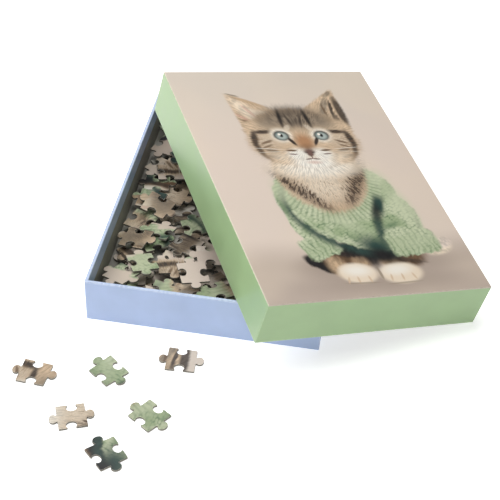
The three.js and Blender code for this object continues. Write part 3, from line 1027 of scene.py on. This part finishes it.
# ---------------------------------------------------------------- the boxes
@dataclass
class RigidBox:
    """A rigid card box: board panels and corner stays from the frame, and the paper wrapped round them."""

    name: str
    sheet_node: str
    paper: PrintedWrap
    top: PrintedWrap
    board: Finish
    tape: Finish
    slots: tuple[str, str]
    flipped: bool = False
    thickness: float = 0.28 * MM
    wall: float = 2.9 * MM
    turn_in: float = 15 * MM
    corner: float = 0.9 * MM  # radius of the wrap round an upright edge
    fold: float = 0.75 * MM  # radius where the sheet turns down from the flat to the walls
    rim: float = 0.7 * MM
    seam: float = 1.15 * MM  # where the sheet of the flat ends on the walls
    sharp: float = math.radians(60)

    def frame(self) -> tuple[Matrix, Triple]:
        """Where the box stands: its frame with the flat at z = 0 and the open side up.

        Returns:
            The matrix, and the width, the length and the height in metres.
        """
        mesh = merged_copy(self.sheet_node)
        facing = 1 if self.flipped else -1
        face = max(mesh.faces, key=lambda f: (round(f.calc_area(), 7), facing * f.normal.z))
        corners = [v.co.copy() for v in face.verts]
        up = -face.normal
        mesh.free()
        edges = sorted((corners[i - 1] - corners[i] for i in range(4)), key=lambda e: e.length)
        along = edges[-1].normalized()
        if along.y < 0:
            along.negate()
        matrix = standing(along.cross(up), along, up, sum(corners, Vector()) / 4)
        inverse = matrix.inverted()
        wrap = frame["nodes"][f"{self.name}_side_wrap"].data
        height = max((inverse @ v.co).z for v in wrap.vertices)
        return matrix, (edges[0].length, edges[-1].length, height)

    def sheet(self, size: Triple) -> Mesh:
        """The whole paper as one surface: the flat, the walls, the fold over the rim and the turn-in."""
        width, length, height = size
        mesh = bmesh.new()
        bmesh.ops.create_cube(mesh, size=1.0)
        bmesh.ops.scale(mesh, vec=size, verts=mesh.verts)
        bmesh.ops.translate(mesh, vec=(0, 0, height / 2), verts=mesh.verts)
        bmesh.ops.delete(mesh, geom=[f for f in mesh.faces if f.normal.z > 0.5], context="FACES_ONLY")
        inward = Matrix.Diagonal((1 - 2 * self.wall / width, 1 - 2 * self.wall / length, 1, 1))
        for step in (inward, Matrix.Translation((0, 0, -self.turn_in))):
            rim = [e for e in mesh.edges if e.is_boundary]
            folded = bmesh.ops.extrude_edge_only(mesh, edges=rim)["geom"]
            inner = [g for g in folded if isinstance(g, bmesh.types.BMVert)]
            bmesh.ops.transform(mesh, matrix=step, verts=inner)
        bmesh.ops.recalc_face_normals(mesh, faces=mesh.faces)
        self.round_folds(mesh, height)
        return mesh

    def round_folds(self, mesh: Mesh, height: float) -> None:
        """Rounds the upright edges, the two edges of the rim and the edges of the flat."""

        def folds(z: float) -> list[Edge]:
            """The sharp folds at one height."""
            level = [e for e in mesh.edges if all(abs(v.co.z - z) < WELD for v in e.verts)]
            return [e for e in level if e.calc_face_angle(0.0) > self.sharp]

        uprights = [e for e in mesh.edges if abs(e.verts[0].co.z - e.verts[1].co.z) > self.turn_in / 2]
        bevel(mesh, uprights, self.corner)
        bevel(mesh, folds(height), self.rim)
        bevel(mesh, folds(0.0), self.fold)

    def lay_flat(self, mesh: Mesh, size: Triple) -> None:
        """Writes the sheet's own coordinates: the box unfolded, in millimetres from the flat's corner."""
        width, length, height = size
        layer = mesh.loops.layers.uv.new(SHEET_UV)
        for face in mesh.faces:
            middle = face.calc_center_median()
            on_flat = abs(face.normal.z) > 0.75 and middle.z < height / 2
            sideways = abs(middle.x) / width > abs(middle.y) / length
            inside = middle.z > height - self.turn_in - MM and (
                abs(middle.x) < width / 2 - self.wall / 2 and abs(middle.y) < length / 2 - self.wall / 2)
            for loop in face.loops:
                x, y, z = loop.vert.co
                down = 0.0 if on_flat else (2 * height - z if inside else z)
                u = width / 2 - x if self.flipped else width / 2 + x
                v = length / 2 + y
                if down and sideways:
                    u = -down if u < width / 2 else width + down
                elif down:
                    v = -down if v < length / 2 else length + down
                loop[layer].uv = (u / MM, v / MM)

    def part(self, whole: Mesh, above: bool, size: Triple) -> Mesh:
        """One of the two papers: the flat with its rounded edge, or the walls. A thick, closed sheet."""
        mesh = whole.copy()
        lost = [f for f in mesh.faces if (f.calc_center_median().z > self.seam) != above]
        bmesh.ops.delete(mesh, geom=lost, context="FACES")
        bmesh.ops.solidify(mesh, geom=mesh.faces[:], thickness=self.thickness)
        self.lay_flat(mesh, size)
        return mesh

    def build(self) -> None:
        """Makes the papers and puts them on the box's body, and dresses the boards and the stays."""
        matrix, size = self.frame()
        whole = self.sheet(size)
        bmesh.ops.bisect_plane(whole, geom=whole.verts[:] + whole.edges[:] + whole.faces[:],
                               plane_co=(0, 0, self.seam), plane_no=UP)
        for above, suffix, finish, slot, node in (
            (True, "wrap", self.paper, self.slots[0], f"{self.name}_side_wrap"),
            (False, "sheet", self.top, self.slots[1], self.sheet_node),
        ):
            mesh = self.part(whole, above, size)
            bmesh.ops.transform(mesh, matrix=matrix, verts=mesh.verts)
            obj = make_object(f"{self.name}_{suffix}", mesh, [finish.material()])
            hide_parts(node)
            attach(obj, self.name)
            log.info("%s: %d faces", obj.name, len(obj.data.polygons))
        whole.free()
        for node in frame["nodes"]:
            if node.startswith(f"{self.name}_board_"):
                dress(node, self.board)
            elif node.startswith(f"{self.name}_corner_stay"):
                dress(node, self.tape)


# ---------------------------------------------------------------- jigsaw pieces
PIECE_SHARP = 40.0  # the angle in degrees past which a piece's edge stays crisp


class Way(Enum):
    """Which way round a piece's picture runs."""

    UPRIGHT = 0
    LEFT = 90
    DOWN = 180
    RIGHT = 270


@dataclass
class Template:
    """A jigsaw piece's mesh in its own frame, with the frame that it came from."""

    mesh: Mesh
    matrix: Matrix
    thickness: float

    @classmethod
    def of(cls, node: str) -> "Template":
        """Reads a piece from the frame.

        Args:
            node: The CAD node's name.

        Returns:
            The piece, its underside at z = 0, its X along its straightest cut.
        """
        mesh = merged_copy(node)
        face = widest_face(mesh)
        up = face.normal.copy()
        straight = max(face.edges, key=lambda e: e.calc_length())
        along = (straight.verts[1].co - straight.verts[0].co).normalized()
        corners = [v.co for v in face.verts]
        middle = sum(corners, Vector()) / len(corners)
        thickness = max((middle - v.co).dot(up) for v in mesh.verts)
        matrix = standing(along, up.cross(along), up, middle - up * thickness)
        bmesh.ops.transform(mesh, matrix=matrix.inverted(), verts=mesh.verts)
        return cls(mesh, matrix, thickness)

    def outline(self) -> np.ndarray:
        """The face's outline, in metres in the piece's own frame."""
        return np.array([v.co.xy[:] for v in widest_face(self.mesh).verts])

    def print_on(self, home: Point, way: Way) -> None:
        """Writes where on the picture each corner of the piece comes from, in millimetres."""
        layer = self.mesh.loops.layers.uv.get(SHEET_UV) or self.mesh.loops.layers.uv.new(SHEET_UV)
        turn = Matrix.Rotation(math.radians(way.value), 2)
        for face in self.mesh.faces:
            for loop in face.loops:
                loop[layer].uv = Vector(home) + turn @ (loop.vert.co.xy / MM)

    def ply(self, edge: set[int] | None = None) -> None:
        """Writes each corner's nearness to the cut edge and its height through the board."""
        layer = self.mesh.loops.layers.uv.new(PLY_UV)
        for face in self.mesh.faces:
            for loop in face.loops:
                near = 1.0 if edge and loop.vert.index in edge else 0.0
                loop[layer].uv = (near, loop.vert.co.z / self.thickness)


@dataclass
class JigsawPieces:
    """The pieces that are modelled one by one, die-cut from board, with rounded cuts and a printed face."""

    face: Finish
    edge: Finish
    curve: float = 0.5 * MM  # rounds the facets of a knob into one curve
    corner: float = 0.5 * MM
    press: float = 0.2 * MM  # the die presses the printed edge round
    burr: float = 0.12 * MM
    rub: float = 0.15 * MM  # press and rub together stay under a corner's radius
    bends: Point = (math.radians(8), math.radians(50))  # the turns between a knob's facets
    keen: float = math.radians(45)
    steep: float = 0.9  # an edge that climbs this share of its length runs through the board
    facing: float = 0.3  # a face whose normal climbs more than this is printed
    seed: int = 23
    homes: dict[str, tuple[float, float, Way]] = field(default_factory=dict)

    def shape(self, template: Template) -> None:
        """Rounds a piece as the die leaves it, and marks its printed face."""
        mesh = template.mesh

        def upright(edge: Edge) -> bool:
            """Whether an edge runs through the board."""
            run = edge.verts[1].co - edge.verts[0].co
            return abs(run.z) > self.steep * run.length

        bends = {e: e.calc_face_angle(0.0) for e in mesh.edges if upright(e)}
        gentle = [e for e, bend in bends.items() if self.bends[0] < bend < self.bends[1]]
        bevel(mesh, gentle, self.curve, 2)
        keen = [e for e in mesh.edges if upright(e) and e.calc_face_angle(0.0) > self.keen]
        bevel(mesh, keen, self.corner, 2)
        bevel(mesh, list(widest_face(mesh).edges), self.press, 2)
        bottom = min(mesh.faces, key=lambda f: f.normal.z * f.calc_area())
        bevel(mesh, list(bottom.edges), self.burr, 1)
        bmesh.ops.inset_region(mesh, faces=[widest_face(mesh)], thickness=self.rub, use_even_offset=True)
        mesh.verts.index_update()
        plain = {v.index for v in widest_face(mesh).verts}
        for face in mesh.faces:
            face.material_index = 0 if face.normal.z > self.facing else 1
        template.ply({v.index for v in mesh.verts} - plain)

    def build(self) -> None:
        """Makes every single piece that the frame holds."""
        rng = random.Random(self.seed)
        bodies = frame["record"]["behaviour"]["bodies"]
        owner = {node: body for body, nodes in bodies.items() for node in nodes}
        materials = [self.face.material(), self.edge.material()]
        for node in sorted(n for n in frame["nodes"] if "_piece_" in n):
            template = Template.of(node)
            self.shape(template)
            anywhere = (rng.uniform(20, 190), rng.uniform(15, 280), rng.choice(list(Way)))
            x, y, way = self.homes.get(node, anywhere)
            template.print_on((x, y), way)
            bmesh.ops.transform(template.mesh, matrix=template.matrix, verts=template.mesh.verts)
            obj = make_object(f"{node}_cut", template.mesh, materials, PIECE_SHARP)
            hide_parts(node)
            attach(obj, owner[node])
            log.info("%s: %d faces", obj.name, len(obj.data.polygons))


@dataclass
class Rest:
    """Where a piece comes to rest: a plane over the ground, and how high its face is."""

    x: float
    y: float
    turn: float
    base: float
    slope_x: float
    slope_y: float
    cells: tuple[np.ndarray, np.ndarray]
    top: np.ndarray

    def matrix(self) -> Matrix:
        """The piece's frame as it lies."""
        up = Vector((-self.slope_x, -self.slope_y, 1)).normalized()
        along = Vector((math.cos(self.turn), math.sin(self.turn), 0))
        along = (along - up * along.dot(up)).normalized()
        return standing(along, up.cross(along), up, (self.x, self.y, self.base))


@dataclass
class Heap:
    """The pieces that lie under the ones on top, dropped one by one where there is the most room."""

    face: Finish
    edge: Finish
    count: int = 263  # dropped; the ones that find no room are left out
    meshes: int = 8
    tries: int = 34
    seed: int = 5
    cell: float = 1.5 * MM
    clearance: float = 0.12 * MM
    lean: float = 0.2  # the steepest a piece lies, as a slope
    face_down: float = 0.22  # the share of the pieces that lie so
    facing: float = 0.5  # a face whose normal climbs more than this is printed
    spacing: float = 0.7  # between a footprint's points, in cells
    wall_room: float = 0.4 * MM
    ceiling_room: float = 0.15 * MM
    low: Vector = field(init=False)
    high: Vector = field(init=False)
    ground: np.ndarray = field(init=False)
    ceiling: np.ndarray = field(init=False)
    templates: list[Template] = field(init=False)
    prints: list[np.ndarray] = field(init=False)

    def __post_init__(self) -> None:
        """Reads the templates and the room that there is for the heap."""
        self.low, self.high = low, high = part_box("piece_heap")
        shape = (int((high.x - low.x) / self.cell) + 1, int((high.y - low.y) / self.cell) + 1)
        self.ground = np.full(shape, low.z)
        self.ceiling = np.full(shape, low.z)
        node = frame["nodes"]["piece_heap"].data
        tree = BVHTree.FromPolygons([v.co for v in node.vertices], [p.vertices for p in node.polygons])
        for i, j in np.ndindex(shape):
            start = Vector((low.x + (i + 0.5) * self.cell, low.y + (j + 0.5) * self.cell, 1.0))
            hit = tree.ray_cast(start, -UP)[0]
            if hit:
                self.ceiling[i, j] = hit.z - self.ceiling_room
        names = sorted(n for n in frame["nodes"] if n.startswith(("loose_piece", "free_")))
        self.templates = [Template.of(name) for name in names]
        self.prints = [self.footprint(t.outline()) for t in self.templates]

    def footprint(self, outline: np.ndarray) -> np.ndarray:
        """Points spread evenly inside an outline, with the outline's own."""
        low, high = outline.min(0), outline.max(0)
        step = self.cell * self.spacing
        grid = np.mgrid[low[0]:high[0]:step, low[1]:high[1]:step].reshape(2, -1).T
        within = np.zeros(len(grid), bool)
        for (ax, ay), (bx, by) in zip(outline, np.roll(outline, -1, axis=0)):
            crosses = (ay > grid[:, 1]) != (by > grid[:, 1])
            if ay != by:
                meets = ax + (grid[:, 1] - ay) * (bx - ax) / (by - ay)
                within ^= crosses & (grid[:, 0] < meets)
        return np.vstack([grid[within], outline])

    def settle(self, points: np.ndarray, thickness: float, x: float, y: float, turn: float) -> Rest | None:
        """Lowers a piece at a place.

        Args:
            points: The piece's footprint.
            thickness: The board's thickness.
            x: The place across the tray.
            y: The place along it.
            turn: The piece's turn in radians.

        Returns:
            How it rests, or None where a wall or the heap's top is in its way.
        """
        cosine, sine = math.cos(turn), math.sin(turn)
        dx = points[:, 0] * cosine - points[:, 1] * sine
        dy = points[:, 0] * sine + points[:, 1] * cosine
        px, py = x + dx, y + dy
        for place, low, high in ((px, self.low.x, self.high.x), (py, self.low.y, self.high.y)):
            if place.min() < low + self.wall_room or place.max() > high - self.wall_room:
                return None
        cells = (((px - self.low.x) / self.cell).astype(int), ((py - self.low.y) / self.cell).astype(int))
        heights = self.ground[cells]
        design = np.column_stack([dx, dy, np.ones(len(dx))])
        slope_x, slope_y, _ = np.linalg.lstsq(design, heights, rcond=None)[0]
        slope_x, slope_y = np.clip((slope_x, slope_y), -self.lean, self.lean)
        base = (heights - slope_x * dx - slope_y * dy).max() + self.clearance
        top = base + slope_x * dx + slope_y * dy + thickness * math.hypot(1, slope_x, slope_y)
        if (top > self.ceiling[cells]).any():
            return None
        return Rest(x, y, turn, base, slope_x, slope_y, cells, top)

    def build(self) -> None:
        """Drops the pieces, and joins them into a few meshes."""
        rng = random.Random(self.seed)
        batches = [bmesh.new() for _ in range(self.meshes)]
        materials = [self.face.material(), self.edge.material()]
        laid = 0
        for index in range(self.count):
            pick = rng.randrange(len(self.templates))
            template, points = self.templates[pick], self.prints[pick]
            best: Rest | None = None
            for _ in range(self.tries):
                x = rng.uniform(self.low.x, self.high.x)
                y = rng.uniform(self.low.y, self.high.y)
                rest = self.settle(points, template.thickness, x, y, rng.uniform(0, math.tau))
                if rest and (best is None or rest.top.mean() < best.top.mean()):
                    best = rest
            home = (rng.uniform(14, 192), rng.uniform(14, 281))
            over = rng.random() < self.face_down
            if best is None:
                continue
            np.maximum.at(self.ground, best.cells, best.top)
            self.add(batches[laid % self.meshes], template, best, home, rng.choice(list(Way)), over)
            laid += 1
        for number, batch in enumerate(batches, 1):
            obj = make_object(f"heap_pieces_{number}", batch, materials, PIECE_SHARP)
            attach(obj, "tray")
            if number == 1:
                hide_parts("piece_heap")
        log.info("heap: %d pieces in %d meshes", laid, self.meshes)

    def add(self, batch: Mesh, template: Template, rest: Rest, home: Point,
            way: Way, over: bool) -> None:
        """Adds one piece to a batch. One that lies face down has its print underneath."""
        copy = Template(template.mesh.copy(), template.matrix, template.thickness)
        copy.print_on(home, way)
        copy.ply()
        facing = -1 if over else 1
        for face in copy.mesh.faces:
            face.material_index = 0 if facing * face.normal.z > self.facing else 1
        bmesh.ops.transform(copy.mesh, matrix=rest.matrix(), verts=copy.mesh.verts)
        carrier = mesh_data("carrier", copy.mesh)
        batch.from_mesh(carrier)
        bpy.data.meshes.remove(carrier)


# ---------------------------------------------------------------- the studio
@dataclass
class Studio:
    """A white table, soft lights and the camera."""

    reach: float = 8.0
    eye: Triple = (0.13946, -0.8937, 0.75055)
    yaw: float = 7.70
    pitch: float = 40.68
    roll: float = 2.43
    lens: float = 90.8
    glow: float = 0.58  # of the table
    haze: float = 0.06  # of the surroundings
    target: Vector = field(default_factory=lambda: Vector((0.02, -0.05, 0.03)))

    def build(self) -> None:
        """Sets the table, the lights, the surroundings and the camera."""
        self.table()
        self.light("key", (-0.95, -0.45, 1.25), 0.9, 12.0)
        self.light("side", (-1.5, -0.15, 0.55), 0.8, 4.5)
        self.light("fill", (0.6, -1.4, 0.8), 1.2, 4.8)
        self.light("sky", (-0.1, 0.3, 1.65), 1.1, 18.5)
        self.surroundings()
        self.camera()

    def table(self) -> None:
        """The table: matt white, and bright enough to show as plain white."""
        mesh = bmesh.new()
        bmesh.ops.create_grid(mesh, x_segments=1, y_segments=1, size=self.reach)
        data = mesh_data("table", mesh)
        material = bpy.data.materials.new("table_white")
        material.use_nodes = True
        shader = material.node_tree.nodes["Principled BSDF"]
        for name, value in (
            ("Base Color", (0.92, 0.92, 0.92, 1)),
            ("Roughness", 0.9),
            ("Specular IOR Level", 0.0),
            ("Emission Color", (1, 1, 1, 1)),
            ("Emission Strength", self.glow),
        ):
            shader.inputs[name].default_value = value
        data.materials.append(material)
        table = placed("table", data)

    def light(self, name: str, at: Triple, size: float, power: float) -> None:
        """A soft square light that looks at the object."""
        data = bpy.data.lights.new(name, "AREA")
        data.size = size
        data.energy = power
        lamp = placed(name, data)
        lamp.location = at
        lamp.rotation_euler = (self.target - Vector(at)).to_track_quat("-Z", "Y").to_euler()

    def surroundings(self) -> None:
        """Even white light from all round."""
        world = bpy.data.worlds.new("studio")
        world.use_nodes = True
        backdrop = world.node_tree.nodes["Background"]
        backdrop.inputs["Color"].default_value = (1, 1, 1, 1)
        backdrop.inputs["Strength"].default_value = self.haze
        bpy.context.scene.world = world

    def camera(self) -> None:
        """The camera, from its place and its three turns."""
        yaw, pitch, roll = (math.radians(v) for v in (self.yaw, self.pitch, self.roll))
        ahead = Vector((-math.sin(yaw) * math.cos(pitch), math.cos(yaw) * math.cos(pitch), -math.sin(pitch)))
        level = Vector((math.cos(yaw), math.sin(yaw), 0))
        above = level.cross(ahead)
        right = math.cos(roll) * level + math.sin(roll) * above
        top = -math.sin(roll) * level + math.cos(roll) * above
        data = bpy.data.cameras.new("camera")
        data.lens = self.lens
        data.clip_start = 0.01
        camera = placed("camera", data)
        camera.matrix_world = standing(right, top, -ahead, self.eye)
        bpy.context.scene.camera = camera
        bpy.context.scene.view_settings.view_transform = "Standard"


# ---------------------------------------------------------------- the whole
TRAY_SIZE = (200.0, 289.0, 42.3)
LID_SIZE = (206.0, 295.0, 44.3)

GREYBOARD = Greyboard("greyboard", 0.9, 0.06, 0.5, ink(150, 147, 139), ink(104, 101, 94))
STAY_TAPE = Greyboard("stay_tape", 0.8, 0.03, 0.3, ink(190, 160, 118), ink(150, 120, 84))
# In a wrap the second ink is the pale one: painted highlight along the folds, and on the plain wraps the rim
# scuffed paler.
TRAY_WRAP = PrintedWrap("tray_wrap", 0.5, 0.012, 0.4, ink(172, 190, 224), ink(214, 224, 242), TRAY_SIZE)
LID_WRAP = PrintedWrap("lid_wrap", 0.38, 0.012, 0.4, ink(150, 178, 130), ink(200, 218, 186), LID_SIZE)
LID_PICTURE = PictureWrap("lid_picture", 0.34, 0.01, 0.4, ink(150, 178, 130), ink(232, 222, 204), LID_SIZE,
                          fold=0.5)
PIECE_FACE = PiecePrint("piece_print", 0.42, 0.015, 0.4, ink(214, 208, 196))
PIECE_EDGE = PieceEdge("piece_board", 0.85, 0.05, 0.4, ink(132, 128, 118), ink(88, 84, 77),
                       ink(186, 182, 172))

# Where on the picture the pieces that catch the eye were cut: millimetres across and up, and which way round.
HOMES = {
    "loose_piece_1": (64, 206, Way.UPRIGHT),
    "loose_piece_2": (112, 80, Way.UPRIGHT),
    "loose_piece_3": (155, 236, Way.LEFT),
    "loose_piece_4": (92, 136, Way.LEFT),
    "loose_piece_5": (96, 80, Way.UPRIGHT),
    "loose_piece_6": (108, 56, Way.DOWN),
    "free_piece_1": (76, 46, Way.LEFT),
    "free_piece_3": (75, 226, Way.UPRIGHT),
    "free_piece_4": (132, 224, Way.LEFT),
    "free_piece_5": (64, 112, Way.DOWN),
    "free_piece_6": (164, 96, Way.LEFT),
    "free_piece_7": (32, 120, Way.UPRIGHT),
    "tray_piece_2": (168, 126, Way.UPRIGHT),
    "tray_piece_6": (62, 96, Way.RIGHT),
    "tray_piece_7": (102, 122, Way.LEFT),
    "tray_piece_8": (145, 82, Way.UPRIGHT),
    "tray_piece_10": (98, 90, Way.UPRIGHT),
    "tray_piece_12": (48, 34, Way.UPRIGHT),
    "tray_piece_14": (152, 188, Way.LEFT),
    "tray_piece_16": (137, 44, Way.UPRIGHT),
    "tray_piece_17": (103, 232, Way.DOWN),
    "tray_piece_20": (86, 48, Way.UPRIGHT),
    "tray_piece_21": (58, 192, Way.LEFT),
    "tray_piece_22": (58, 70, Way.LEFT),
}


def main() -> None:
    """Builds the tray, the lid, the pieces, the heap and the studio, and logs the face counts."""
    logging.basicConfig(level=logging.INFO, format="%(name)s %(message)s")
    tray = RigidBox("tray", "tray_base_sheet", TRAY_WRAP, TRAY_WRAP, GREYBOARD, STAY_TAPE,
                    ("tray_wrap", "tray_wrap"))
    lid = RigidBox("lid", "lid_picture_sheet", LID_WRAP, LID_PICTURE, GREYBOARD, STAY_TAPE,
                   ("lid_wrap", "lid_picture"), flipped=True)
    tray.build()
    lid.build()
    JigsawPieces(PIECE_FACE, PIECE_EDGE, homes=HOMES).build()
    Heap(PIECE_FACE, PIECE_EDGE).build()
    Studio().build()


if __name__ == "__main__":
    main()
